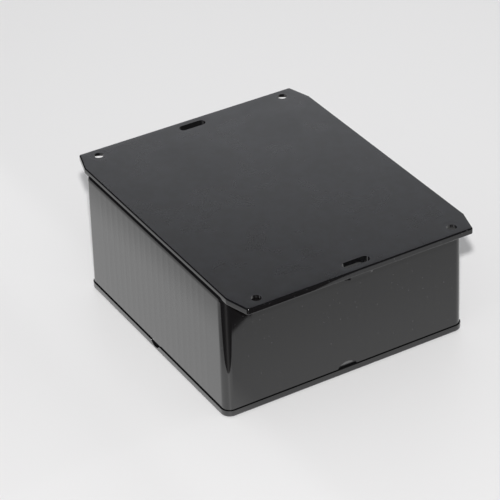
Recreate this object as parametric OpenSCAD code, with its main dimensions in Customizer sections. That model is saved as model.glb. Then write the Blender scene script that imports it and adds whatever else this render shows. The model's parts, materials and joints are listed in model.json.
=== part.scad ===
// Plastic project box with mounting flanges, standing on its lid.
// One moulded case: drafted walls, closed by a plate that reaches out as a
// flange at both ends. A thin lid closes the open side below, held by four
// countersunk screws that run up into brass inserts in the corner posts.
// X runs from flange to flange, Y across, Z up from the table. Millimetres.

/* [Case] */
// Outer length of the case at its open rim, from flange end to flange end
case_l = 120.6; // [100:0.2:160]
// Outer width of the case at its open rim
case_w = 119; // [100:0.2:160]
// Height from the table to the outer face of the mounting plate
total_h = 60; // [45:0.5:90]
// Thickness of the side walls at the rim
wall_t = 2.5; // [2:0.1:3.2]
// Draft of the walls, in degrees: the case narrows towards the plate
draft = 0.5; // [0:0.1:1]
// Outer radius of the upright corners
corner_r = 4; // [3.5:0.1:6]
// Rounding of the case's edge beside the plate
shoulder_r = 3; // [1:0.1:3.4]
// How far that rounded edge stays below the plate's outer face
shoulder_drop = 1; // [0.8:0.1:2.2]

/* [Mounting plate] */
// Thickness of the plate, which is also the closed end of the case
plate_t = 3; // [2.4:0.1:4]
// How far each flange reaches out past the rim
flange_reach = 12.7; // [11.5:0.1:18]
// How far the plate's long edges stay inside the case's walls
plate_inset = 1; // [0.6:0.1:2]
// Length of each corner cut, along the case
cut_l = 11.6; // [6:0.2:12]
// Width of each corner cut, across the case
cut_w = 3.4; // [1:0.2:5]
// Rounding along the plate's edges
edge_r = 0.6; // [0.2:0.05:0.9]
// Diameter of the four mounting holes
mount_d = 4.4; // [3:0.1:5]
// From the end of the plate to the hole centres
mount_end = 5.4; // [5.2:0.1:6]
// From the long edge of the plate to the hole centres
mount_side = 10.5; // [8:0.1:16]
// Diameter of the recess behind each mounting hole
recess_d = 9.2; // [7:0.1:9.4]
// Plastic left around a mounting hole, above its recess
web_t = 1.3; // [1:0.1:1.8]
// Length of the slot in the middle of each flange
slot_l = 13; // [8:0.5:24]
// Width of that slot
slot_w = 4.2; // [3:0.1:5]
// Wall of the rim around the slot, under the flange
collar_t = 1.2; // [0.8:0.1:1.6]
// Height of that rim below the flange
collar_h = 2.4; // [0.6:0.1:3]

/* [Inside the case] */
// From the case's outer face to the middle of a screw post, at the rim
post_inset = 6.8; // [6.6:0.1:9]
// Diameter of the screw posts
post_d = 9; // [8.6:0.1:10]
// Distance between the card guides
guide_pitch = 5; // [4:0.1:10]
// Width of one card guide
guide_w = 1.2; // [0.8:0.1:2]
// How far the guides stand out from the wall at the closed end
guide_h = 1.2; // [0.6:0.1:2]
// From the rim to the foot of the guides
guide_foot = 4.6; // [3.2:0.2:20]

/* [Lid] */
// Thickness of the lid at its edge
lid_t = 3; // [2.6:0.1:4]
// How far the lid stands out past the case's rim
lid_proud = 0.5; // [0:0.1:1]
// Rounding of the lid's lower edge
lid_edge_r = 0.8; // [0.3:0.1:1.2]
// Height of the shadow gap between lid and rim
gap_h = 0.3; // [0.2:0.1:0.8]
// Depth of the shadow gap, in from the rim's outer face
gap_in = 1.1; // [0.6:0.1:1.5]
// Height of the lips that centre the lid
lip_h = 1.6; // [1:0.1:2.4]
// Thickness of those lips
lip_t = 1.4; // [1:0.1:2]
// Play between lip and wall
lip_play = 0.25; // [0.15:0.05:0.5]

/* [Pry notches] */
// Width of the notch in the middle of each long side of the lid
lid_notch_w = 7; // [5:0.5:12]
// Height of that notch
lid_notch_h = 1.8; // [1:0.1:2]
// Depth of that notch
lid_notch_in = 1.4; // [0.8:0.1:1.5]
// Width of the half moon in the rim of each end wall
rim_notch_w = 9; // [6:0.5:14]
// Height of that half moon
rim_notch_h = 2.4; // [1.5:0.1:2.9]
// Depth of that half moon
rim_notch_in = 0.8; // [0.6:0.1:1.4]
// Bevel along the half moon's arc
rim_notch_bevel = 0.3; // [0.1:0.05:0.5]

/* [Screws and inserts] */
// Diameter over the screw's thread
screw_d = 2.9; // [2.4:0.1:3]
// Length of the screw, with its head
screw_l = 10; // [9:0.5:14]
// Diameter of the countersunk head
head_d = 5.5; // [5:0.1:6]
// How far the head sits inside the lid's face
head_sink = 0.2; // [0.1:0.05:0.4]
// Width of the cross recess's arms
cross_w = 0.8; // [0.5:0.05:1]
// Length of the cross recess's arms, tip to tip
cross_l = 2.9; // [2:0.1:3.2]
// Depth of the cross recess
cross_h = 1.3; // [0.8:0.1:1.6]
// Outer diameter of the brass inserts
insert_d = 4.6; // [4.2:0.1:5]
// Length of the brass inserts
insert_l = 5.5; // [4:0.5:6]
// How deep the inserts sit in their posts
insert_sink = 0.3; // [0:0.1:0.6]

/* [Hidden] */

$fn = 48;
root = 0.5;             // how deep a rib or post is rooted in its wall
over = 1;               // how far a cutter runs past the face that it cuts
run_play = 0.05;        // radial play of a screw in its insert
press = 0.04;           // radial bite of an insert's knurl into its post
head_play = 0.1;        // play around a screw's head
shank_play = 0.25;      // radial play of a screw in the lid
tip_room = 2;           // free depth above a screw's tip
tip_bevel = 0.35;       // bevel at the end of a screw
plate_corner_r = 1;     // upright rounding at the plate's corners
head_h = 1.8;           // height of the straight wall heads under the flanges
head_flush = 0.03;      // how far they stay inside the drafted walls
round_steps = 4;        // slices in a rounded edge
corner_steps = 12;      // sides of a rounded corner

case_color = "#1d1d1f";
lid_color = "#232326";
screw_color = "#141416";
insert_color = "#b08a3c";

// Heights
rim_z = lid_t + gap_h;
inner_z = total_h - plate_t;
shoulder_z = total_h - shoulder_drop;

// Half sizes of the case, at a height z
function draft_at(z) = (z - rim_z) * tan(draft);
function half_l(z) = case_l / 2 - draft_at(z);
function half_w(z) = case_w / 2 - draft_at(z);

// Mounting plate
plate_l = case_l + 2 * flange_reach;
plate_w = 2 * (half_w(inner_z) - plate_inset);
mount_x = plate_l / 2 - mount_end;
mount_y = plate_w / 2 - mount_side;

// Screw posts, and the screws and inserts that share their axes
post_x = case_l / 2 - post_inset;
post_y = case_w / 2 - post_inset;
POSTS = [[-1, -1], [1, -1], [1, 1], [-1, 1]];
screw_r = screw_d / 2;
insert_r = insert_d / 2;
tip_z = head_sink + screw_l;
bore_z = rim_z + insert_sink + insert_l;

// Lips stop short of the posts by this much
post_gap = 1.5;
lip_half_l = post_x - post_d / 2 - post_gap;
lip_half_w = post_y - post_d / 2 - post_gap;

// Rectangle with rounded corners
module rounded_rect(l, w, r) {
    polygon([for (c = [[1, 1, 0], [-1, 1, 90], [-1, -1, 180], [1, -1, 270]], i = [0 : corner_steps])
        let (a = c[2] + 90 * i / corner_steps)
        [c[0] * (l / 2 - r) + r * cos(a), c[1] * (w / 2 - r) + r * sin(a)]]);
}

// Slot with round ends, standing on z = 0 and running along Y
module slot_prism(l, w, h) {
    translate([-w / 2, -(l - w) / 2, 0]) cube([w, l - w, h]);
    for (s = [-1, 1]) translate([0, s * (l - w) / 2, 0]) cylinder(d = w, h = h);
}

// Radius of the circle that gives a half moon of width w and height h
function moon_r(w, h) = (w * w / 4 + h * h) / (2 * h);

module at_posts(i) {
    translate([POSTS[i][0] * post_x, POSTS[i][1] * post_y, 0]) children();
}

// A corner puck with a rounded upper edge, its top at z = 0
module corner_puck(r, edge) {
    rotate_extrude() {
        translate([0, -edge]) square([r - edge, edge]);
        translate([r - edge, -edge]) intersection() {
            circle(edge);
            square(edge);
        }
    }
}

// A cone that gives a hull one circle of radius r, at z = 0
module ring_cone(r) {
    cylinder(r1 = r, r2 = r / 2, h = r);
}

// Outside of the case: four drafted corners, rounded beside the plate
module case_outside() {
    hull() for (sx = [-1, 1], sy = [-1, 1]) {
        translate([sx * (half_l(rim_z) - corner_r), sy * (half_w(rim_z) - corner_r), rim_z])
            ring_cone(corner_r);
        translate([sx * (half_l(shoulder_z) - corner_r), sy * (half_w(shoulder_z) - corner_r),
                   shoulder_z])
            corner_puck(corner_r, shoulder_r);
    }
}

// Inside of the case, drafted with the walls
module case_inside() {
    inner_r = corner_r - wall_t;
    hull() for (z = [rim_z - over, inner_z], sx = [-1, 1], sy = [-1, 1])
        translate([sx * (half_l(z) - wall_t - inner_r), sy * (half_w(z) - wall_t - inner_r), z])
            mirror([0, 0, z < rim_z ? 0 : 1]) ring_cone(inner_r, $fn = 32);
}

// Outline of the mounting plate, drawn in by a margin
module plate_outline(margin = 0) {
    x = plate_l / 2 - margin;
    y = plate_w / 2 - margin;
    r = max(plate_corner_r - margin, 0.1);
    offset(r = r, $fn = 32) offset(delta = -r)
        polygon([[-x, -y + cut_w], [-x + cut_l, -y], [x - cut_l, -y], [x, -y + cut_w],
                 [x, y - cut_w], [x - cut_l, y], [-x + cut_l, y], [-x, y - cut_w]]);
}

module mounting_plate() {
    hull() for (i = [0 : round_steps]) {
        a = 90 * i / round_steps;
        rise = edge_r * (1 - sin(a));
        translate([0, 0, inner_z + rise])
            linear_extrude(plate_t - 2 * rise) plate_outline(edge_r * (1 - cos(a)));
    }
}

// Straight heads of the two end walls, which carry them up into the flanges
module wall_heads() {
    x = half_l(inner_z) - head_flush;
    y = half_w(inner_z) - corner_r - 1;
    for (s = [-1, 1]) translate([s > 0 ? x - wall_t / 2 : -x, -y, inner_z - head_h])
        cube([wall_t / 2, 2 * y, head_h + root]);
}

// Low rims that stiffen the flange around its slots, on the lid's side
module slot_collars() {
    for (s = [-1, 1]) translate([s * mount_x, 0, inner_z - collar_h])
        slot_prism(slot_l + 2 * collar_t, slot_w + 2 * collar_t, collar_h + root);
}

module flange_cuts() {
    for (s = [-1, 1]) {
        translate([s * mount_x, 0, inner_z - collar_h - over])
            slot_prism(slot_l, slot_w, plate_t + collar_h + 2 * over);
        for (t = [-1, 1]) translate([s * mount_x, t * mount_y, 0]) {
            translate([0, 0, inner_z - over]) cylinder(d = mount_d, h = plate_t + 2 * over);
            translate([0, 0, inner_z - over])
                cylinder(d = recess_d, h = plate_t - web_t + over);
        }
    }
}

// Posts for the lid's screws, each filled out into its corner
module screw_posts() {
    for (p = POSTS) {
        h = inner_z - rim_z + root;
        reach_x = half_l(inner_z) - wall_t - post_x + root / 2;
        reach_y = half_w(inner_z) - wall_t - post_y + root / 2;
        translate([p[0] * post_x, p[1] * post_y, rim_z]) {
            cylinder(d = post_d, h = h);
            translate([p[0] > 0 ? 0 : -reach_x, p[1] > 0 ? 0 : -reach_y, 0])
                cube([reach_x, reach_y, h]);
        }
    }
}

module post_bores() {
    for (i = [0 : 3]) at_posts(i) {
        translate([0, 0, rim_z - over]) cylinder(r = insert_r, h = bore_z - rim_z + over);
        translate([0, 0, rim_z]) cylinder(r = screw_r + shank_play, h = tip_z + tip_room - rim_z);
    }
}

// Card guides: upright ribs with parallel faces, on all four walls
module card_guides() {
    z = rim_z + guide_foot;
    h = inner_z - z + root;
    face_x = half_l(inner_z) - wall_t - guide_h;
    face_y = half_w(inner_z) - wall_t - guide_h;
    depth = guide_h + draft_at(inner_z) + root;
    per_l = floor((lip_half_l - guide_w / 2) / guide_pitch);
    per_w = floor((lip_half_w - guide_w / 2) / guide_pitch);
    for (s = [-1, 1]) {
        for (i = [-per_l : per_l])
            translate([i * guide_pitch - guide_w / 2, s > 0 ? face_y : -face_y - depth, z])
                cube([guide_w, depth, h]);
        for (i = [-per_w : per_w])
            translate([s > 0 ? face_x : -face_x - depth, i * guide_pitch - guide_w / 2, z])
                cube([depth, guide_w, h]);
    }
}

// Half moons in the rim of the two end walls, with a bevelled arc
module rim_notches() {
    r = moon_r(rim_notch_w, rim_notch_h);
    face = half_l(rim_z);
    for (s = [0, 180]) rotate([0, 0, s]) translate([face, 0, rim_z + rim_notch_h - r])
        rotate([0, 90, 0]) {
            translate([0, 0, -rim_notch_in]) cylinder(r = r, h = rim_notch_in + over, $fn = 96);
            translate([0, 0, -rim_notch_bevel])
                cylinder(r1 = r, r2 = r + rim_notch_bevel + over, h = rim_notch_bevel + over, $fn = 96);
        }
}

module case() {
    color(case_color) difference() {
        union() {
            difference() {
                union() {
                    case_outside();
                    mounting_plate();
                    wall_heads();
                    slot_collars();
                }
                case_inside();
            }
            screw_posts();
            card_guides();
        }
        post_bores();
        flange_cuts();
        rim_notches();
    }
}

// Lid plate with a rounded lower edge
module lid_plate() {
    l = case_l + 2 * lid_proud;
    w = case_w + 2 * lid_proud;
    r = corner_r + lid_proud;
    hull() for (i = [0 : round_steps]) {
        a = 90 * i / round_steps;
        rise = lid_edge_r * (1 - sin(a));
        margin = lid_edge_r * (1 - cos(a));
        translate([0, 0, rise]) linear_extrude(lid_t - rise)
            rounded_rect(l - 2 * margin, w - 2 * margin, r - margin);
    }
}

// Raised seat that the rim stands on, inside the shadow gap
module lid_seat() {
    translate([0, 0, lid_t - root]) linear_extrude(gap_h + root)
        rounded_rect(case_l - 2 * gap_in, case_w - 2 * gap_in, corner_r - gap_in);
}

module lid_lips() {
    out_x = case_l / 2 - wall_t - lip_play;
    out_y = case_w / 2 - wall_t - lip_play;
    for (s = [-1, 1]) {
        translate([-lip_half_l, s > 0 ? out_y - lip_t : -out_y, rim_z - root])
            cube([2 * lip_half_l, lip_t, lip_h + root]);
        translate([s > 0 ? out_x - lip_t : -out_x, -lip_half_w, rim_z - root])
            cube([lip_t, 2 * lip_half_w, lip_h + root]);
    }
}

module lid_cuts() {
    mouth_r = head_d / 2 + head_sink + head_play;
    shank_r = screw_r + shank_play;
    for (i = [0 : 3]) at_posts(i) {
        translate([0, 0, -over]) cylinder(r = shank_r, h = rim_z + 2 * over);
        translate([0, 0, -over])
            cylinder(r1 = mouth_r + over, r2 = shank_r, h = mouth_r + over - shank_r);
    }
    r = moon_r(lid_notch_w, lid_notch_h);
    face = case_w / 2 + lid_proud;
    for (s = [0, 180]) rotate([0, 0, s]) translate([0, -face - over, lid_t - lid_notch_h + r])
        rotate([-90, 0, 0]) cylinder(r = r, h = lid_notch_in + over, $fn = 96);
}

module lid() {
    color(lid_color) difference() {
        union() {
            lid_plate();
            lid_seat();
            lid_lips();
        }
        lid_cuts();
    }
}

// Countersunk machine screw with a cross recess, head down
module lid_screw(i) {
    cone_h = head_d / 2 - screw_r;
    color(screw_color) at_posts(i) translate([0, 0, head_sink]) difference() {
        union() {
            cylinder(r1 = head_d / 2, r2 = screw_r, h = cone_h);
            cylinder(r = screw_r, h = screw_l - tip_bevel);
            translate([0, 0, screw_l - tip_bevel])
                cylinder(r1 = screw_r, r2 = screw_r - tip_bevel, h = tip_bevel);
        }
        for (a = [0, 90]) rotate([0, 0, 45 + a])
            translate([-cross_l / 2, -cross_w / 2, -over]) cube([cross_l, cross_w, cross_h + over]);
    }
}

// Brass insert, pressed into its post
module insert(i) {
    color(insert_color) at_posts(i) translate([0, 0, rim_z + insert_sink]) difference() {
        cylinder(r = insert_r + press, h = insert_l);
        translate([0, 0, -over]) cylinder(r = screw_r + run_play, h = insert_l + 2 * over);
    }
}

case();
lid();
lid_screw(0);  // lid_screw_1
lid_screw(1);  // lid_screw_2
lid_screw(2);  // lid_screw_3
lid_screw(3);  // lid_screw_4
insert(0);  // insert_1
insert(1);  // insert_2
insert(2);  // insert_3
insert(3);  // insert_4
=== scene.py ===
"""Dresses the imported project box: moulded case, lid, countersunk screws and threaded inserts.

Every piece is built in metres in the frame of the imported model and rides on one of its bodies.
"""

import json
import logging
import math
from dataclasses import dataclass
from enum import Enum

import bpy
import numpy as np
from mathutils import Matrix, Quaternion, Vector

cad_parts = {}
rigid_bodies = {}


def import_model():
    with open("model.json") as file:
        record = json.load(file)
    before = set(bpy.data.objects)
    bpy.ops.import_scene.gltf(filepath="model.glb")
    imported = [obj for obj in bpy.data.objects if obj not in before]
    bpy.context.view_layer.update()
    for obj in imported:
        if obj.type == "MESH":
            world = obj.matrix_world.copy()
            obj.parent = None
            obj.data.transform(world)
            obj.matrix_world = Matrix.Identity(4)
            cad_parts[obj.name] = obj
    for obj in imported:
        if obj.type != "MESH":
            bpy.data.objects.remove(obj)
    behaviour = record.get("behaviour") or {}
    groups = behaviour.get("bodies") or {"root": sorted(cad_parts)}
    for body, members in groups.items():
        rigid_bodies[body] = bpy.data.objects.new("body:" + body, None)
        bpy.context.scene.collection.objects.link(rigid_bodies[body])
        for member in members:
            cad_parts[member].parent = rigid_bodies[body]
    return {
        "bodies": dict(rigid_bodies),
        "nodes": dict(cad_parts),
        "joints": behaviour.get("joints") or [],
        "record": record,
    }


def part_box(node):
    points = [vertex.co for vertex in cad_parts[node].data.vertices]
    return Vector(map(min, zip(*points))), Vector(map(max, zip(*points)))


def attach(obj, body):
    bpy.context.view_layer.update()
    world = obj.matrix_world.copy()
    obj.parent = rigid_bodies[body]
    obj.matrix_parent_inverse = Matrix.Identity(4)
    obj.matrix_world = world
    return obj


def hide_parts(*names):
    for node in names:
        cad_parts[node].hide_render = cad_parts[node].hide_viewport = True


LOG = logging.getLogger("project_box")
MM = 0.001
Colour = tuple[float, float, float]
Point = tuple[float, float, float]


class Handed(Enum):
    """Which way a ridge or thread winds, seen along +Z."""

    RIGHT = 1
    LEFT = -1


# ---------------------------------------------------------------- node trees


class Graph:
    """Places and wires the nodes of one tree."""

    def __init__(self, tree: bpy.types.NodeTree) -> None:
        """Takes over a tree and empties it.

        Args:
            tree: The node tree of a material, a world or a group.
        """
        self.tree = tree
        self.tree.nodes.clear()

    def node(self, kind: str, values: dict | None = None, **settings: object) -> bpy.types.Node:
        """Adds a node.

        Args:
            kind: The node's type name.
            values: Input name or index to a constant or an output socket.
            **settings: Attributes of the node.

        Returns:
            The new node.
        """
        made = self.tree.nodes.new(kind)
        for name, value in settings.items():
            setattr(made, name, value)
        for name, value in (values or {}).items():
            self.feed(made.inputs[name], value)
        return made

    def feed(self, socket: bpy.types.NodeSocket, value: object) -> None:
        """Links a socket to an output, or sets it to a constant.

        Args:
            socket: The input socket.
            value: An output socket, a number or a tuple.
        """
        if isinstance(value, bpy.types.NodeSocket):
            self.tree.links.new(value, socket)
        elif value is not None:
            socket.default_value = value

    def math(self, operation: str, *terms: object, clamp: bool = False) -> bpy.types.NodeSocket:
        """Applies a Math node.

        Args:
            operation: The Math node's operation.
            *terms: Numbers or output sockets.
            clamp: Whether the result is kept between 0 and 1.

        Returns:
            The result's socket.
        """
        values = dict(enumerate(terms))
        return self.node("ShaderNodeMath", values, operation=operation, use_clamp=clamp).outputs[0]

    def step(self, value: object, low: float, high: float) -> bpy.types.NodeSocket:
        """Rises smoothly from 0 at low to 1 at high, or falls if low is the greater.

        Args:
            value: The socket to read.
            low: Where the result is 0.
            high: Where the result is 1.

        Returns:
            The result's socket.
        """
        turned = low > high
        values = {"Value": value, "From Min": min(low, high), "From Max": max(low, high),
                  "To Min": 1.0 if turned else 0.0, "To Max": 0.0 if turned else 1.0}
        made = self.node("ShaderNodeMapRange", values, interpolation_type="SMOOTHSTEP")
        return made.outputs[0]

    def mix(self, share: object, first: object, second: object) -> bpy.types.NodeSocket:
        """Mixes two colours.

        Args:
            share: How much of the second colour shows.
            first: A colour or an output socket.
            second: A colour or an output socket.

        Returns:
            The mixed colour's socket.
        """
        made = self.node("ShaderNodeMix", data_type="RGBA")
        self.feed(made.inputs[0], share)
        self.feed(made.inputs[6], (*first, 1.0) if isinstance(first, tuple) else first)
        self.feed(made.inputs[7], (*second, 1.0) if isinstance(second, tuple) else second)
        return made.outputs[2]

    def lerp(self, share: object, first: object, second: object) -> bpy.types.NodeSocket:
        """Mixes two numbers: first at share 0, second at share 1."""
        made = self.node("ShaderNodeMix", data_type="FLOAT")
        self.feed(made.inputs[0], share)
        self.feed(made.inputs[2], first)
        self.feed(made.inputs[3], second)
        return made.outputs[0]

    def noise(self, place: object, size: float, detail: float = 2.0,
              rough: float = 0.5) -> bpy.types.NodeSocket:
        """Smooth noise from 0 to 1.

        Args:
            place: The vector socket, in millimetres.
            size: The size of one blot in millimetres.
            detail: How many finer layers are added.
            rough: The strength of the finer layers.

        Returns:
            The noise's socket.
        """
        values = {"Vector": place, "Scale": 1.0 / size, "Detail": detail, "Roughness": rough}
        return self.node("ShaderNodeTexNoise", values).outputs[0]

    def stretch(self, place: object, x: float, y: float, z: float) -> bpy.types.NodeSocket:
        """Multiplies a vector by three numbers."""
        return self.node("ShaderNodeVectorMath", {0: place, 1: (x, y, z)},
                         operation="MULTIPLY").outputs[0]

    def millimetres(self) -> bpy.types.NodeSocket:
        """Gives the object's own coordinates in millimetres."""
        place = self.node("ShaderNodeTexCoord").outputs["Object"]
        return self.stretch(place, 1000.0, 1000.0, 1000.0)

    def apart(self, place: object) -> list[bpy.types.NodeSocket]:
        """Splits a vector into its X, Y and Z sockets."""
        return list(self.node("ShaderNodeSeparateXYZ", {0: place}).outputs)

    def use(self, group: bpy.types.NodeTree, values: dict) -> bpy.types.Node:
        """Places a node group.

        Args:
            group: The group's tree.
            values: Input name to a constant or an output socket.

        Returns:
            The group node.
        """
        made = self.tree.nodes.new("ShaderNodeGroup")
        made.node_tree = group
        for name, value in values.items():
            self.feed(made.inputs[name], value)
        return made


class Effects:
    """The node groups that several finishes share, each built once."""

    def __init__(self) -> None:
        """Starts with no group built."""
        self._built: dict[str, bpy.types.NodeTree] = {}

    def _open(self, name: str, inputs: dict[str, float | None],
              outputs: tuple[str, ...]) -> tuple[Graph, bpy.types.Node, bpy.types.Node]:
        """Starts a group with its sockets.

        Args:
            name: The group's name.
            inputs: Socket name to its default, or None for a vector.
            outputs: Names of the outputs.

        Returns:
            The graph, its Group Input node and its Group Output node.
        """
        tree = bpy.data.node_groups.new(name, "ShaderNodeTree")
        for socket, default in inputs.items():
            kind = "NodeSocketVector" if default is None else "NodeSocketFloat"
            made = tree.interface.new_socket(socket, in_out="INPUT", socket_type=kind)
            if default is not None:
                made.default_value = default
        for socket in outputs:
            tree.interface.new_socket(socket, in_out="OUTPUT", socket_type="NodeSocketFloat")
        graph = Graph(tree)
        self._built[name] = tree
        return graph, graph.node("NodeGroupInput"), graph.node("NodeGroupOutput")

    def grain(self) -> bpy.types.NodeTree:
        """Fine pitted grain of an eroded mould face.

        Height is half noise and half the distance to scattered pit centres; both shrink with Cell.

        Returns:
            The group, with inputs Vector and Cell in millimetres, and output Height.
        """
        if "grain" not in self._built:
            graph, entry, leave = self._open("grain", {"Vector": None, "Cell": 0.5}, ("Height",))
            scale = graph.math("DIVIDE", 1.0, entry.outputs["Cell"])
            values = {"Vector": entry.outputs["Vector"], "Scale": scale}
            fine = graph.node("ShaderNodeTexNoise", {**values, "Detail": 2.0}).outputs[0]
            pits = graph.node("ShaderNodeTexVoronoi", values).outputs["Distance"]
            both = graph.math("MULTIPLY_ADD", pits, 0.5, graph.math("MULTIPLY", fine, 0.5))
            graph.feed(leave.inputs["Height"], both)
        return self._built["grain"]

    def dust(self) -> bpy.types.NodeTree:
        """Scattered specks: discs round the centres of those cells whose random value is low.

        Returns:
            The group, with inputs Vector, Cell and Share, and output Mask.
        """
        if "dust" not in self._built:
            graph, entry, leave = self._open(
                "dust", {"Vector": None, "Cell": 3.0, "Share": 0.2}, ("Mask",))
            scale = graph.math("DIVIDE", 1.0, entry.outputs["Cell"])
            cell = graph.node("ShaderNodeTexVoronoi",
                              {"Vector": entry.outputs["Vector"], "Scale": scale})
            chance = graph.apart(cell.outputs["Color"])
            near = graph.step(graph.math("MULTIPLY_ADD", chance[1], -0.05,
                                         cell.outputs["Distance"]), 0.07, 0.02)
            picked = graph.math("LESS_THAN", chance[0], entry.outputs["Share"])
            graph.feed(leave.inputs["Mask"], graph.math("MULTIPLY", near, picked))
        return self._built["dust"]

    def handling(self) -> bpy.types.NodeTree:
        """Cloudy smears left by hands and packing: broad noise, sharpened between two levels.

        Returns:
            The group, with inputs Vector and Size in millimetres, and output Smear.
        """
        if "handling" not in self._built:
            graph, entry, leave = self._open("handling", {"Vector": None, "Size": 25.0}, ("Smear",))
            scale = graph.math("DIVIDE", 1.0, entry.outputs["Size"])
            broad = graph.node("ShaderNodeTexNoise", {
                "Vector": entry.outputs["Vector"], "Scale": scale, "Detail": 4.0,
                "Roughness": 0.6, "Distortion": 0.6}).outputs[0]
            graph.feed(leave.inputs["Smear"], graph.step(broad, 0.35, 0.7))
        return self._built["handling"]


# ---------------------------------------------------------------- finishes


@dataclass(frozen=True)
class MouldedPlastic:
    """Black moulded plastic: polished walls and a finely pitted plate.

    Lengths are in millimetres. The plate's finish starts at the height plate_z; sink lines show
    where card guides stand behind the walls. The half moons in the rim get a painted reflection: pale
    colour where they mirror the bright floor.
    A pair of values is the stretch over which an effect fades in.
    """

    name: str
    base: Colour = (0.0060, 0.0060, 0.0066)
    plate_base: Colour = (0.0100, 0.0100, 0.0108)
    plate_pale: Colour = (0.0135, 0.0141, 0.0165)
    lint: Colour = (0.16, 0.16, 0.17)
    notch_painted_reflection: Colour = (0.105, 0.105, 0.108)
    wall_rough: float = 0.05
    plate_rough: float = 0.27
    ior: float = 1.54
    plate_z: float = 1000.0
    guide_pitch: float = 0.0
    wall_x: float = 58.6
    wall_y: float = 57.8
    sink_depth: float = 0.010
    grain_cell: float = 0.45
    grain_depth: float = 0.002
    wave_size: float = 38.0
    wave_depth: float = 0.05
    smear_size: float = 22.0
    mottle_cell: float = 4.5
    speck_cell: float = 2.6
    speck_share: float = 0.16
    speck_strength: float = 0.3
    sink_top: tuple[float, float] = (57.6, 56.0)
    sink_end: tuple[float, float] = (49.0, 46.0)
    # Box and strength of the painted reflection inside the rim's half moons.
    reflection_face: tuple[float, float] = (60.24, 60.14)
    reflection_back: tuple[float, float] = (59.2, 59.4)
    reflection_side: tuple[float, float] = (4.9, 4.5)
    reflection_foot: tuple[float, float] = (3.3, 4.6)
    reflection_top: tuple[float, float] = (6.2, 6.0)
    reflection_strength: float = 0.9
    mount_at: tuple[float, float] = (67.6, 47.53)
    witness: float = 0.010

    def build(self, effects: Effects) -> bpy.types.Material:
        """Makes the material.

        Height of a wall is the sum of the sink lines, a cosine across the guides' pitch, and a
        slow waviness; height of the plate is its grain.

        Args:
            effects: The shared node groups.

        Returns:
            The material.
        """
        material = bpy.data.materials.new(self.name)
        material.use_nodes = True
        graph = Graph(material.node_tree)
        place = graph.millimetres()
        x, y, z = graph.apart(place)
        plate = graph.step(z, self.plate_z, self.plate_z + 0.04)

        grain = graph.use(effects.grain(), {"Vector": place, "Cell": self.grain_cell}).outputs[0]
        height = graph.math("MULTIPLY", graph.math("MULTIPLY", grain, self.grain_depth), plate)
        wave = graph.math("MULTIPLY", graph.noise(place, self.wave_size, 1.0), self.wave_depth)
        height = graph.math("ADD", height, wave)
        sinks = self._sinks(graph, x, y, z)
        if sinks is not None:
            height = graph.math("MULTIPLY_ADD", sinks, self.sink_depth, height)

        if self.guide_pitch:
            height = graph.math("MULTIPLY_ADD", self._witness(graph, x, y), plate, height)
        smear = graph.use(effects.handling(), {"Vector": place, "Size": self.smear_size}).outputs[0]
        specks = graph.use(effects.dust(), {"Vector": place, "Cell": self.speck_cell,
                                            "Share": self.speck_share}).outputs[0]
        mottle = graph.noise(place, self.mottle_cell, 3.0, 0.65)
        shade = graph.mix(graph.step(mottle, 0.36, 0.64), self.plate_base, self.plate_pale)
        colour = graph.mix(plate, self.base, shade)
        colour = graph.mix(graph.math("MULTIPLY", specks, self.speck_strength), colour, self.lint)
        # Painted reflection: the half moons in the rim are painted pale where they mirror the bright
        # floor.
        if self.guide_pitch:
            colour = graph.mix(self._notch_reflection_mask(graph, x, y, z), colour, self.notch_painted_reflection)
        rough = graph.lerp(plate, graph.lerp(smear, self.wall_rough, self.wall_rough + 0.03),
                           graph.lerp(smear, self.plate_rough, self.plate_rough + 0.05))
        bump = graph.node("ShaderNodeBump", {"Height": height, "Distance": MM, "Strength": 1.0})
        surface = graph.node("ShaderNodeBsdfPrincipled", {
            "Base Color": colour, "Roughness": rough, "IOR": self.ior,
            "Normal": bump.outputs[0]})
        graph.node("ShaderNodeOutputMaterial", {"Surface": surface.outputs[0]})
        return material

    def _witness(self, graph: Graph, x: object, y: object) -> bpy.types.NodeSocket:
        """Faint dips over the hollows behind the plate: rounds at the holes, ovals at the slots.

        Args:
            graph: The material's graph.
            x: Socket of X in millimetres.
            y: Socket of Y in millimetres.

        Returns:
            The height's socket, in millimetres.
        """
        end = graph.math("SUBTRACT", graph.math("ABSOLUTE", x), self.mount_at[0])
        wide = graph.math("ABSOLUTE", y)
        dips = []
        for start, low, high in ((self.mount_at[1], -200.0, 3.9), (4.4, 0.0, 3.1)):
            side = graph.math("MAXIMUM", graph.math("SUBTRACT", wide, start), low)
            far = graph.math("SQRT", graph.math("ADD", graph.math("MULTIPLY", end, end),
                                                graph.math("MULTIPLY", side, side)))
            dips.append(graph.step(far, high + 0.6, high - 0.1))
        return graph.math("MULTIPLY", graph.math("ADD", *dips), -self.witness)

    def _notch_reflection_mask(self, graph: Graph, x: object, y: object, z: object) -> object:
        """Painted reflection: a pale patch inside the half moons in the rim, a box inside the wall's
        face, standing in for the bright floor they mirror.

        Args:
            graph: The material's graph.
            x: Socket of X in millimetres.
            y: Socket of Y in millimetres.
            z: Socket of Z in millimetres.

        Returns:
            The mask's socket, from 0 to 1.
        """
        deep, wide = graph.math("ABSOLUTE", x), graph.math("ABSOLUTE", y)
        within = [graph.step(deep, *self.reflection_face), graph.step(deep, *self.reflection_back),
                  graph.step(wide, *self.reflection_side), graph.step(z, *self.reflection_foot),
                  graph.step(z, *self.reflection_top)]
        mask = self.reflection_strength
        for edge in within:
            mask = graph.math("MULTIPLY", edge, mask)
        return mask

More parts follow.
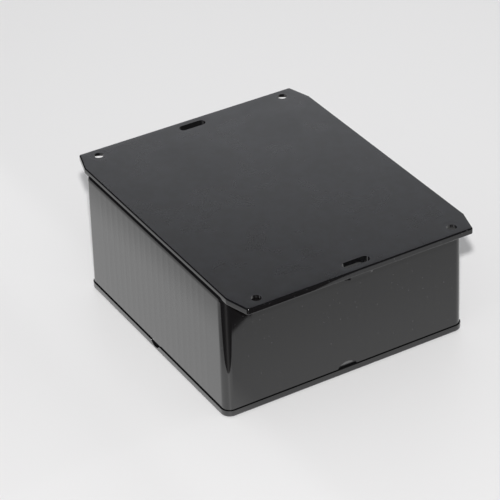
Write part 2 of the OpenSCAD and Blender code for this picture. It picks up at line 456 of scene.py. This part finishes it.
    def _sinks(self, graph: Graph, x: object, y: object, z: object) -> object:
        """Height of the sink lines, from 0 between two guides to 1 over a guide.

        Args:
            graph: The material's graph.
            x: Socket of X in millimetres.
            y: Socket of Y in millimetres.
            z: Socket of Z in millimetres.

        Returns:
            The height's socket, or None on a piece with no guides.
        """
        if not self.guide_pitch:
            return None
        turn = 2.0 * math.pi / self.guide_pitch
        below = graph.step(z, *self.sink_top)
        sides = []
        for along, across, limit in ((x, y, self.wall_y), (y, x, self.wall_x)):
            wave = graph.math("COSINE", graph.math("MULTIPLY", along, turn))
            sharp = graph.math("POWER", graph.math("MULTIPLY_ADD", wave, 0.5, 0.5), 2.0)
            outer = graph.step(graph.math("ABSOLUTE", across), limit, limit + 0.2)
            inner = graph.step(graph.math("ABSOLUTE", along), *self.sink_end)
            sides.append(graph.math("MULTIPLY", graph.math("MULTIPLY", sharp, outer), inner))
        return graph.math("MULTIPLY", graph.math("ADD", *sides), below)


@dataclass(frozen=True)
class CoatedSteel:
    """Blackened steel of the screws, with a thin film of oil."""

    name: str
    base: Colour = (0.075, 0.073, 0.072)
    rough: float = 0.34

    def build(self, effects: Effects) -> bpy.types.Material:
        """Makes the material: cloudy roughness and a very fine grain.

        Args:
            effects: The shared node groups.

        Returns:
            The material.
        """
        material = bpy.data.materials.new(self.name)
        material.use_nodes = True
        graph = Graph(material.node_tree)
        place = graph.millimetres()
        smear = graph.use(effects.handling(), {"Vector": place, "Size": 1.6}).outputs[0]
        grain = graph.use(effects.grain(), {"Vector": place, "Cell": 0.12}).outputs[0]
        colour = graph.mix(smear, self.base, tuple(0.6 * part for part in self.base))
        bump = graph.node("ShaderNodeBump", {"Height": graph.math("MULTIPLY", grain, 0.004),
                                             "Distance": MM})
        surface = graph.node("ShaderNodeBsdfPrincipled", {
            "Base Color": colour, "Metallic": 1.0,
            "Roughness": graph.lerp(smear, self.rough, self.rough + 0.12),
            "Normal": bump.outputs[0]})
        graph.node("ShaderNodeOutputMaterial", {"Surface": surface.outputs[0]})
        return material


@dataclass(frozen=True)
class TurnedBrass:
    """Bright brass with fine rings from turning."""

    name: str
    base: Colour = (0.72, 0.50, 0.22)
    rough: float = 0.22

    def build(self, effects: Effects) -> bpy.types.Material:
        """Makes the material: rings along Z and darker patches of tarnish.

        Args:
            effects: The shared node groups.

        Returns:
            The material.
        """
        material = bpy.data.materials.new(self.name)
        material.use_nodes = True
        graph = Graph(material.node_tree)
        place = graph.millimetres()
        smear = graph.use(effects.handling(), {"Vector": place, "Size": 2.0}).outputs[0]
        rings = graph.noise(graph.stretch(place, 0.05, 0.05, 1.0), 0.09, 1.0)
        colour = graph.mix(graph.math("MULTIPLY", smear, 0.6), self.base,
                           tuple(0.55 * part for part in self.base))
        bump = graph.node("ShaderNodeBump", {"Height": graph.math("MULTIPLY", rings, 0.004),
                                             "Distance": MM})
        surface = graph.node("ShaderNodeBsdfPrincipled", {
            "Base Color": colour, "Metallic": 1.0,
            "Roughness": graph.lerp(smear, self.rough, self.rough + 0.18),
            "Normal": bump.outputs[0]})
        graph.node("ShaderNodeOutputMaterial", {"Surface": surface.outputs[0]})
        return material


# ---------------------------------------------------------------- meshes


def make_object(name: str, points: np.ndarray, faces: list | np.ndarray,
                smooth_below: float = 35.0) -> bpy.types.Object:
    """Puts points and faces into a mesh object that sits at the origin.

    Args:
        name: The object's name.
        points: Array of points, n by 3, in metres.
        faces: Point indices of each face.
        smooth_below: Edges that turn by more than this many degrees stay sharp.

    Returns:
        The object, linked to the scene.
    """
    mesh = bpy.data.meshes.new(name)
    mesh.from_pydata(points.tolist(), [], [list(face) for face in np.asarray(faces).tolist()]
                     if isinstance(faces, np.ndarray) else faces)
    mesh.validate()
    mesh.polygons.foreach_set("use_smooth", np.ones(len(mesh.polygons), dtype=bool))
    mesh.set_sharp_from_angle(angle=math.radians(smooth_below))
    mesh.update()
    made = bpy.data.objects.new(name, mesh)
    bpy.context.scene.collection.objects.link(made)
    return made


def turned_faces(rows: int, columns: int) -> list[list[int]]:
    """Faces of a turned body whose first and last point are poles on its axis.

    The points are the first pole, then rows of points around the axis, then the last pole. Each
    row is joined to the next by quads, and the outer rows to the poles by triangles.

    Args:
        rows: Number of rows between the poles.
        columns: Number of points in a row.

    Returns:
        The faces, wound so that they look outwards when the body runs from -Z to +Z.
    """
    around = np.arange(columns)
    beside = (around + 1) % columns
    start = 1 + columns * np.arange(rows - 1)[:, None]
    quads = np.stack([start + around, start + beside, start + columns + beside,
                      start + columns + around], axis=-1).reshape(-1, 4)
    last_row = 1 + columns * (rows - 1)
    pole = 1 + columns * rows
    first = np.stack([np.zeros(columns, dtype=int), 1 + beside, 1 + around], axis=-1)
    final = np.stack([np.full(columns, pole), last_row + around, last_row + beside], axis=-1)
    return quads.tolist() + first.tolist() + final.tolist()


def smooth_step(value: np.ndarray, low: float, high: float) -> np.ndarray:
    """Rises from 0 at low to 1 at high as 3t^2 - 2t^3."""
    t = np.clip((value - low) / (high - low), 0.0, 1.0)
    return t * t * (3.0 - 2.0 * t)


def merged_copy(node: bpy.types.Object, name: str, smooth_below: float = 32.0) -> bpy.types.Object:
    """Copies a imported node's surface with its doubled points merged, so that it can be smoothed.

    Points that agree to a hundredth of a micrometre become one.

    Args:
        node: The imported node.
        name: Name of the new object.
        smooth_below: Edges that turn by more than this many degrees stay sharp.

    Returns:
        The new object.
    """
    source = node.data
    points = np.empty(len(source.vertices) * 3, dtype=np.float32)
    source.vertices.foreach_get("co", points)
    points = points.reshape(-1, 3).astype(float)
    corners = np.empty(len(source.polygons) * 3, dtype=np.int32)
    source.polygons.foreach_get("vertices", corners)
    _, first, back = np.unique(np.round(points * 1e6).astype(np.int64), axis=0,
                               return_index=True, return_inverse=True)
    faces = back.reshape(-1)[corners].reshape(-1, 3)
    whole = (faces[:, 0] != faces[:, 1]) & (faces[:, 1] != faces[:, 2]) & (faces[:, 0] != faces[:, 2])
    return make_object(name, points[first], faces[whole], smooth_below)


def finish_piece(piece: bpy.types.Object, material: bpy.types.Material, body: str, slot: str,
                 *nodes: str) -> None:
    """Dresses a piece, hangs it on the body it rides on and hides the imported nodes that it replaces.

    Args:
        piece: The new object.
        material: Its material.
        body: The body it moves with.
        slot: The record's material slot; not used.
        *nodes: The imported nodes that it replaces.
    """
    piece.data.materials.clear()
    piece.data.materials.append(material)
    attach(piece, body)
    if nodes:
        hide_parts(*nodes)
    LOG.info("%s: %d faces, rides on %s", piece.name, len(piece.data.polygons), body)


# ---------------------------------------------------------------- sub-assemblies


@dataclass
class Moulding:
    """A moulded shell, the case or the lid, with its surface smoothed over its packed form."""

    node: str
    body: str
    slot: str
    finish: MouldedPlastic
    smooth_below: float = 32.0

    def build(self, frame: dict, effects: Effects) -> bpy.types.Object:
        """Builds and dresses the moulding.

        Args:
            effects: The shared node groups.

        Returns:
            The piece.
        """
        piece = merged_copy(frame["nodes"][self.node], f"{self.node}_moulding", self.smooth_below)
        weights = piece.modifiers.new("flat faces stay flat", "WEIGHTED_NORMAL")
        weights.keep_sharp = True
        finish_piece(piece, self.finish.build(effects), self.body, self.slot, self.node)
        return piece


@dataclass
class LidScrew:
    """A countersunk machine screw with a cross recess, standing head down. Millimetres."""

    number: int
    head_r: float = 2.75
    thread_r: float = 1.44
    root_r: float = 1.16
    pitch: float = 0.5
    length: float = 10.0
    land: float = 0.12
    recess_depth: float = 1.3
    arm_width: float = 0.72
    arm_length: float = 2.9
    face_rows: int = 46
    cone_rows: int = 12
    columns: int = 72
    handed: Handed = Handed.RIGHT

    def meridian(self) -> tuple[np.ndarray, np.ndarray, np.ndarray, np.ndarray]:
        """Half outline from the middle of the head's face to the tip.

        Returns:
            Radius, height, how much of the recess and how much of the thread each point takes.
        """
        face = np.linspace(0.05, 1.0, self.face_rows) * (self.head_r - self.land)
        cone_h = self.head_r - self.thread_r
        cone = np.linspace(0.0, 1.0, self.cone_rows)
        turns = int(round((self.length - cone_h - 0.5) / self.pitch * 10))
        shank = np.linspace(cone_h + 0.15, self.length - 0.35, turns)
        radius = np.concatenate([
            face, [self.head_r], self.head_r - cone * (self.head_r - self.root_r - 0.1),
            np.full(turns, self.thread_r), [self.root_r - 0.05, 0.5, 0.05]])
        height = np.concatenate([
            np.zeros(self.face_rows), [self.land / 2], self.land + cone * (cone_h - self.land), shank,
            [self.length - 0.02, self.length, self.length]])
        recess = (np.arange(len(radius)) < self.face_rows).astype(float)
        lead = smooth_step(shank, cone_h + 0.1, cone_h + 0.9)
        taper = smooth_step(shank, self.length - 0.9, self.length - 0.35)
        head = np.zeros(self.face_rows + 1 + self.cone_rows)
        thread = np.concatenate([head, lead, np.zeros(3)])
        tip = np.concatenate([head, taper, np.zeros(3)])
        radius = radius - tip * 0.18
        return radius, height, recess, thread

    def points(self) -> np.ndarray:
        """Works the surface out on a grid of height and angle.

        The thread is a triangle wave of height minus pitch times angle; the recess is two crossed
        bars whose floor rises towards their ends.

        Returns:
            The points in millimetres, from pole to pole, on an upright axis at the origin.
        """
        radius, height, recess, thread = self.meridian()
        angle = np.linspace(0.0, 2.0 * np.pi, self.columns, endpoint=False)[None, :]
        r, z = radius[:, None] + 0.0 * angle, height[:, None] + 0.0 * angle
        phase = (z / self.pitch - self.handed.value * angle / (2.0 * np.pi)) % 1.0
        groove = 1.0 - np.abs(2.0 * phase - 1.0)
        groove = np.clip(1.25 * groove - 0.1, 0.0, 1.0) * (self.thread_r - self.root_r)
        on_shank = (thread[:, None] > 0.0)
        r = np.where(on_shank, np.minimum(r, self.thread_r) - groove * thread[:, None], r)
        a = angle + np.pi / 4.0
        across, along = r * np.cos(a), r * np.sin(a)
        floor = np.maximum(self._arm(across, along), self._arm(along, across))
        z = z + recess[:, None] * floor * self.recess_depth
        ring = np.stack([r * np.cos(angle), r * np.sin(angle), z], axis=-1).reshape(-1, 3)
        return np.concatenate([[[0.0, 0.0, self.recess_depth]], ring, [[0.0, 0.0, self.length]]])

    def _arm(self, across: np.ndarray, along: np.ndarray) -> np.ndarray:
        """Depth of one bar of the cross, from 0 outside it to 1 at its middle."""
        side = 1.0 - smooth_step(np.abs(across), self.arm_width / 2 - 0.10, self.arm_width / 2)
        end = 1.0 - smooth_step(np.abs(along), self.arm_length / 2 - 0.22, self.arm_length / 2)
        return side * end * (1.0 - 0.30 * np.abs(along) / self.arm_length * 2.0)

    def build(self, material: bpy.types.Material) -> bpy.types.Object:
        """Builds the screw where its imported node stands.

        Args:
            material: The screws' material.

        Returns:
            The piece.
        """
        node = f"lid_screw_{self.number}"
        low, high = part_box(node)
        points = self.points() * MM
        points += np.array([(low.x + high.x) / 2, (low.y + high.y) / 2, low.z])
        rows = (len(points) - 2) // self.columns
        piece = make_object(f"countersunk_screw_{self.number}", points,
                            turned_faces(rows, self.columns), 40.0)
        finish_piece(piece, material, f"screw_{self.number}", "screw_black", node)
        return piece


@dataclass
class ThreadedInsert:
    """A knurled brass insert in a post of the case. Millimetres."""

    number: int
    outer_r: float = 2.33
    bore_r: float = 1.5
    knurl_depth: float = 0.16
    ridges: int = 30
    length: float = 5.5
    groove: float = 0.7
    knurl_rows: int = 30
    columns: int = 120

    def points(self) -> tuple[np.ndarray, int]:
        """Works the surface out on a closed grid: up the outside, in, down the bore and out.

        The outside has two bands of slanted ridges, a rectified sine of angle plus or minus
        height, with a plain groove between them.

        Returns:
            The points in millimetres and the number of rows.
        """
        rise = np.linspace(0.25, self.length - 0.25, self.knurl_rows)
        radius = np.concatenate([[self.bore_r + 0.35, self.outer_r - 0.25],
                                 np.full(self.knurl_rows, self.outer_r),
                                 [self.outer_r - 0.25, self.bore_r + 0.35, self.bore_r],
                                 [self.bore_r]])
        height = np.concatenate([[0.0, 0.0], rise, [self.length, self.length, self.length - 0.3],
                                 [0.3]])
        band = np.concatenate([np.zeros(2), np.where(np.abs(rise - self.length / 2) < self.groove / 2,
                                                     -1.0, 1.0), np.zeros(4)])
        angle = np.linspace(0.0, 2.0 * np.pi, self.columns, endpoint=False)[None, :]
        r, z = radius[:, None] + 0.0 * angle, height[:, None] + 0.0 * angle
        slant = np.where(z > self.length / 2, 1.0, -1.0) * (z - self.length / 2) * 0.32
        ridge = np.abs(np.sin(self.ridges / 2 * (angle + slant)))
        cut = np.where(band[:, None] > 0, (1.0 - ridge) * self.knurl_depth, 0.0)
        cut = np.where(band[:, None] < 0, self.knurl_depth * 1.6, cut)
        r = r - cut
        return np.stack([r * np.cos(angle), r * np.sin(angle), z], axis=-1).reshape(-1, 3), len(radius)

    def build(self, material: bpy.types.Material) -> bpy.types.Object:
        """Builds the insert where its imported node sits.

        Args:
            material: The inserts' material.

        Returns:
            The piece.
        """
        node = f"insert_{self.number}"
        low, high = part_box(node)
        points, rows = self.points()
        points = points * MM + np.array([(low.x + high.x) / 2, (low.y + high.y) / 2, low.z])
        around = np.arange(self.columns)
        beside = (around + 1) % self.columns
        start = np.arange(rows)[:, None] * self.columns
        above = (np.arange(rows)[:, None] + 1) % rows * self.columns
        faces = np.stack([start + around, start + beside, above + beside, above + around],
                         axis=-1).reshape(-1, 4)
        piece = make_object(f"threaded_insert_{self.number}", points, faces, 40.0)
        finish_piece(piece, material, "case", "insert_brass", node)
        return piece


# ---------------------------------------------------------------- studio


@dataclass
class Studio:
    """Pale floor, lamp, even fill and the camera. Metres, and degrees for angles.

    The cards glow though they are no lamps, painting reflections into the plastic. They lie a
    little above the floor, the table's above the paper's, and only mirror images show them.
    """

    camera_at: Point = (0.74584, -0.43513, 0.58613)
    camera_to: Point = (-0.00470, -0.00838, 0.02992)
    camera_roll: float = -2.22
    lens: float = 169.5
    paper: Colour = (0.80, 0.80, 0.81)
    stage_rough: float = 0.42
    # Glow of the card that paints the dark table's reflection.
    table: Colour = (0.020, 0.012, 0.008)
    azimuth: float = 60.0
    lamp_at: Point = (0.716, -0.417, 0.668)
    lamp_size: float = 0.035
    lamp_power: float = 9.2
    fill: float = 0.40
    room: float = 0.012
    pale: float = 0.76
    # Glow of the card that paints a lit backdrop's reflection into the plate.
    backdrop: Colour = (1.22, 1.24, 1.30)
    backdrop_top: float = 0.857
    backdrop_left: float = 0.34
    backdrop_right: float = 0.5
    backdrop_away: float = 1.3
    paper_front: float = 0.111
    paper_reach: float = 0.6
    paper_lift: float = 0.0004
    table_reach: float = 1.5
    table_lift: float = 0.0008
    # Glow of the card that paints the paper's reflection, and painted pools of light near the left and
    # front walls.
    painted_paper_reflection: float = 0.80
    left_painted_light: float = 0.45
    front_painted_light: float = 0.15

    def build(self) -> None:
        """Builds the camera, the lights, the floor and the glowing cards that paint reflections into
        the plastic.
        """
        view = bpy.context.scene.view_settings
        view.view_transform, view.look = "Standard", "None"
        self._camera()
        self._world()
        self._lamp()
        self._floor()
        self._paper_card()
        self._table_card()
        self._sweep_card()

    def _camera(self) -> None:
        """Points the camera and turns it by its roll."""
        data = bpy.data.cameras.new("camera")
        data.sensor_width, data.lens = 36.0, self.lens
        data.clip_start, data.clip_end = 0.01, 50.0
        camera = bpy.data.objects.new("camera", data)
        back = (Vector(self.camera_at) - Vector(self.camera_to)).normalized()
        camera.location = self.camera_at
        camera.rotation_mode = "QUATERNION"
        camera.rotation_quaternion = (-back).to_track_quat("-Z", "Y") @ Quaternion(
            (0.0, 0.0, 1.0), math.radians(self.camera_roll))
        bpy.context.scene.collection.objects.link(camera)
        bpy.context.scene.camera = camera

    def _world(self) -> None:
        """Gives a soft even fill, a dim room in mirror images and a pale backdrop to the camera."""
        world = bpy.data.worlds.new("room")
        world.use_nodes = True
        bpy.context.scene.world = world
        graph = Graph(world.node_tree)
        room, fill, pale = (graph.node("ShaderNodeBackground", {0: (1.0, 1.0, 1.0, 1.0), 1: level})
                            for level in (self.room, self.fill, self.pale))
        path = graph.node("ShaderNodeLightPath").outputs
        lit = graph.node("ShaderNodeMixShader", {0: path["Is Diffuse Ray"], 1: room.outputs[0],
                                                 2: fill.outputs[0]})
        both = graph.node("ShaderNodeMixShader", {0: path["Is Camera Ray"], 1: lit.outputs[0],
                                                  2: pale.outputs[0]})
        graph.node("ShaderNodeOutputWorld", {0: both.outputs[0]})

    def _lamp(self) -> None:
        """Hangs one lamp just above the camera, whose light doesn't fall off across the floor."""
        data = bpy.data.lights.new("key lamp", "AREA")
        data.shape, data.size = "DISK", self.lamp_size
        data.energy = self.lamp_power
        data.color = (1.0, 0.99, 0.975)
        data.use_nodes = True
        graph = Graph(data.node_tree)
        even = graph.node("ShaderNodeLightFalloff", {"Strength": 1.0}).outputs["Constant"]
        glow = graph.node("ShaderNodeEmission", {"Strength": even})
        graph.node("ShaderNodeOutputLight", {0: glow.outputs[0]})
        lamp = bpy.data.objects.new("key lamp", data)
        lamp.location = self.lamp_at
        lamp.rotation_mode = "QUATERNION"
        lamp.rotation_quaternion = (-Vector(self.lamp_at)).to_track_quat("-Z", "Y")
        bpy.context.scene.collection.objects.link(lamp)

    def _plane(self, name: str, corners: list[tuple], material: bpy.types.Material) -> bpy.types.Object:
        """Makes one flat stage piece.

        Args:
            name: Its name.
            corners: Its four corners.
            material: Its material.

        Returns:
            The stage piece.
        """
        made = make_object(name, np.array(corners, dtype=float), [[0, 1, 2, 3]])
        made.data.materials.append(material)
        return made

    def _plain(self, name: str, colour: Colour, rough: float, ior: float = 1.45) -> bpy.types.Material:
        """Makes a plain stage material."""
        material = bpy.data.materials.new(name)
        material.use_nodes = True
        graph = Graph(material.node_tree)
        surface = graph.node("ShaderNodeBsdfPrincipled", {
            "Base Color": (*colour, 1.0), "Roughness": rough, "IOR": ior})
        graph.node("ShaderNodeOutputMaterial", {"Surface": surface.outputs[0]})
        return material

    def _floor(self) -> None:
        """Lays the pale paper."""
        reach = 6.0
        self._plane("floor", [(-reach, -reach, 0.0), (reach, -reach, 0.0), (reach, reach, 0.0),
                              (-reach, reach, 0.0)], self._plain("paper", self.paper, self.stage_rough))

    def _ways(self) -> tuple[Vector, Vector]:
        """Level directions from the box towards the camera, and to the right seen from there."""
        a = math.radians(self.azimuth)
        return Vector((math.sin(a), -math.cos(a), 0.0)), Vector((math.cos(a), math.sin(a), 0.0))

    def _glow(self, name: str, colour: object, rough: float) -> bpy.types.Material:
        """Makes a glowing card material that paints a reflection into the plastic, with a sheen that
        mirrors the lamp.

        Args:
            name: Its name.
            colour: The glow's colour, or a function of the graph that gives its socket.
            rough: The sheen's roughness.

        Returns:
            The material.
        """
        material = bpy.data.materials.new(name)
        material.use_nodes = True
        graph = Graph(material.node_tree)
        shown = colour(graph) if callable(colour) else (*colour, 1.0)
        surface = graph.node("ShaderNodeBsdfPrincipled", {
            "Base Color": (0.0, 0.0, 0.0, 1.0), "Roughness": rough, "IOR": 1.45,
            "Emission Color": shown, "Emission Strength": 1.0})
        graph.node("ShaderNodeOutputMaterial", {"Surface": surface.outputs[0]})
        return material

    def _paper_card(self) -> None:
        """Lays a glowing card that paints the lit paper's reflection, with painted pools of light near
        the foot of the left wall and, weaker, near the front wall's.
        """
        def level(graph: Graph) -> bpy.types.NodeSocket:
            """Painted light: the glow rises towards the foot of the left wall, and a little towards the
            front wall's.
            """
            x, y, _ = graph.apart(graph.millimetres())
            left = graph.math("MULTIPLY", graph.step(y, -108.0, -84.0), graph.step(y, -40.0, -58.0))
            front = graph.math("MULTIPLY", graph.step(x, 125.0, 62.0), graph.step(x, 50.0, 58.0))
            lit = graph.math("MULTIPLY_ADD", left, self.left_painted_light, self.painted_paper_reflection)
            return graph.math("MULTIPLY_ADD", front, self.front_painted_light, lit)

        reach, lift = self.paper_reach, self.paper_lift
        card = self._plane("paper_card", [(-reach, -reach, lift), (reach, -reach, lift),
                                          (reach, reach, lift), (-reach, reach, lift)],
                           self._glow("painted_paper_reflection", level, self.stage_rough))
        self._only_mirrored(card)

    def _table_card(self) -> None:
        """Lays a dimly glowing card in front of the paper that paints the dark table's reflection; only
        mirror images show it.
        """
        ahead, aside = self._ways()
        near, far = ahead * self.paper_front, ahead * self.table_reach
        lift = Vector((0.0, 0.0, self.table_lift))
        corners = [near - aside + lift, far - aside + lift, far + aside + lift, near + aside + lift]
        card = self._plane("table_card", [tuple(corner) for corner in corners],
                           self._glow("painted_table_reflection", self.table, self.stage_rough))
        self._only_mirrored(card)

    def _sweep_card(self) -> None:
        """Stands a glowing card behind the box that paints a lit backdrop's reflection, the plate's
        sheen; only mirror images show it.
        """
        ahead, aside = self._ways()
        away, top = -ahead * self.backdrop_away, Vector((0.0, 0.0, self.backdrop_top))
        left, right = away - aside * self.backdrop_left, away + aside * self.backdrop_right
        card = self._plane("sweep_card", [tuple(left), tuple(right), tuple(right + top),
                                          tuple(left + top)],
                           self._glow("painted_backdrop_reflection", self.backdrop, 0.9))
        self._only_mirrored(card)

    def _only_mirrored(self, card: bpy.types.Object) -> None:
        """Hides a card from the camera and from everything but mirror images."""
        card.visible_camera = False
        card.visible_diffuse = False
        card.visible_shadow = False
        card.visible_transmission = False
        card.visible_volume_scatter = False


# ---------------------------------------------------------------- main


def main() -> None:
    """Builds every piece in order."""
    logging.basicConfig(level=logging.INFO, format="%(name)s: %(message)s")
    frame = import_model()
    bpy.context.view_layer.update()
    effects = Effects()
    Studio().build()
    Moulding("case", "case", "case_plastic",
             MouldedPlastic("case_plastic_black", plate_z=59.93, guide_pitch=5.0)).build(frame, effects)
    Moulding("lid", "lid", "lid_plastic",
             MouldedPlastic("lid_plastic_black", wall_rough=0.18)).build(frame, effects)
    steel = CoatedSteel("screw_black_oxide").build(effects)
    brass = TurnedBrass("insert_turned_brass").build(effects)
    for number in (1, 2, 3, 4):
        LidScrew(number).build(steel)
        ThreadedInsert(number).build(brass)
    bpy.context.view_layer.update()


if __name__ == "__main__":
    main()
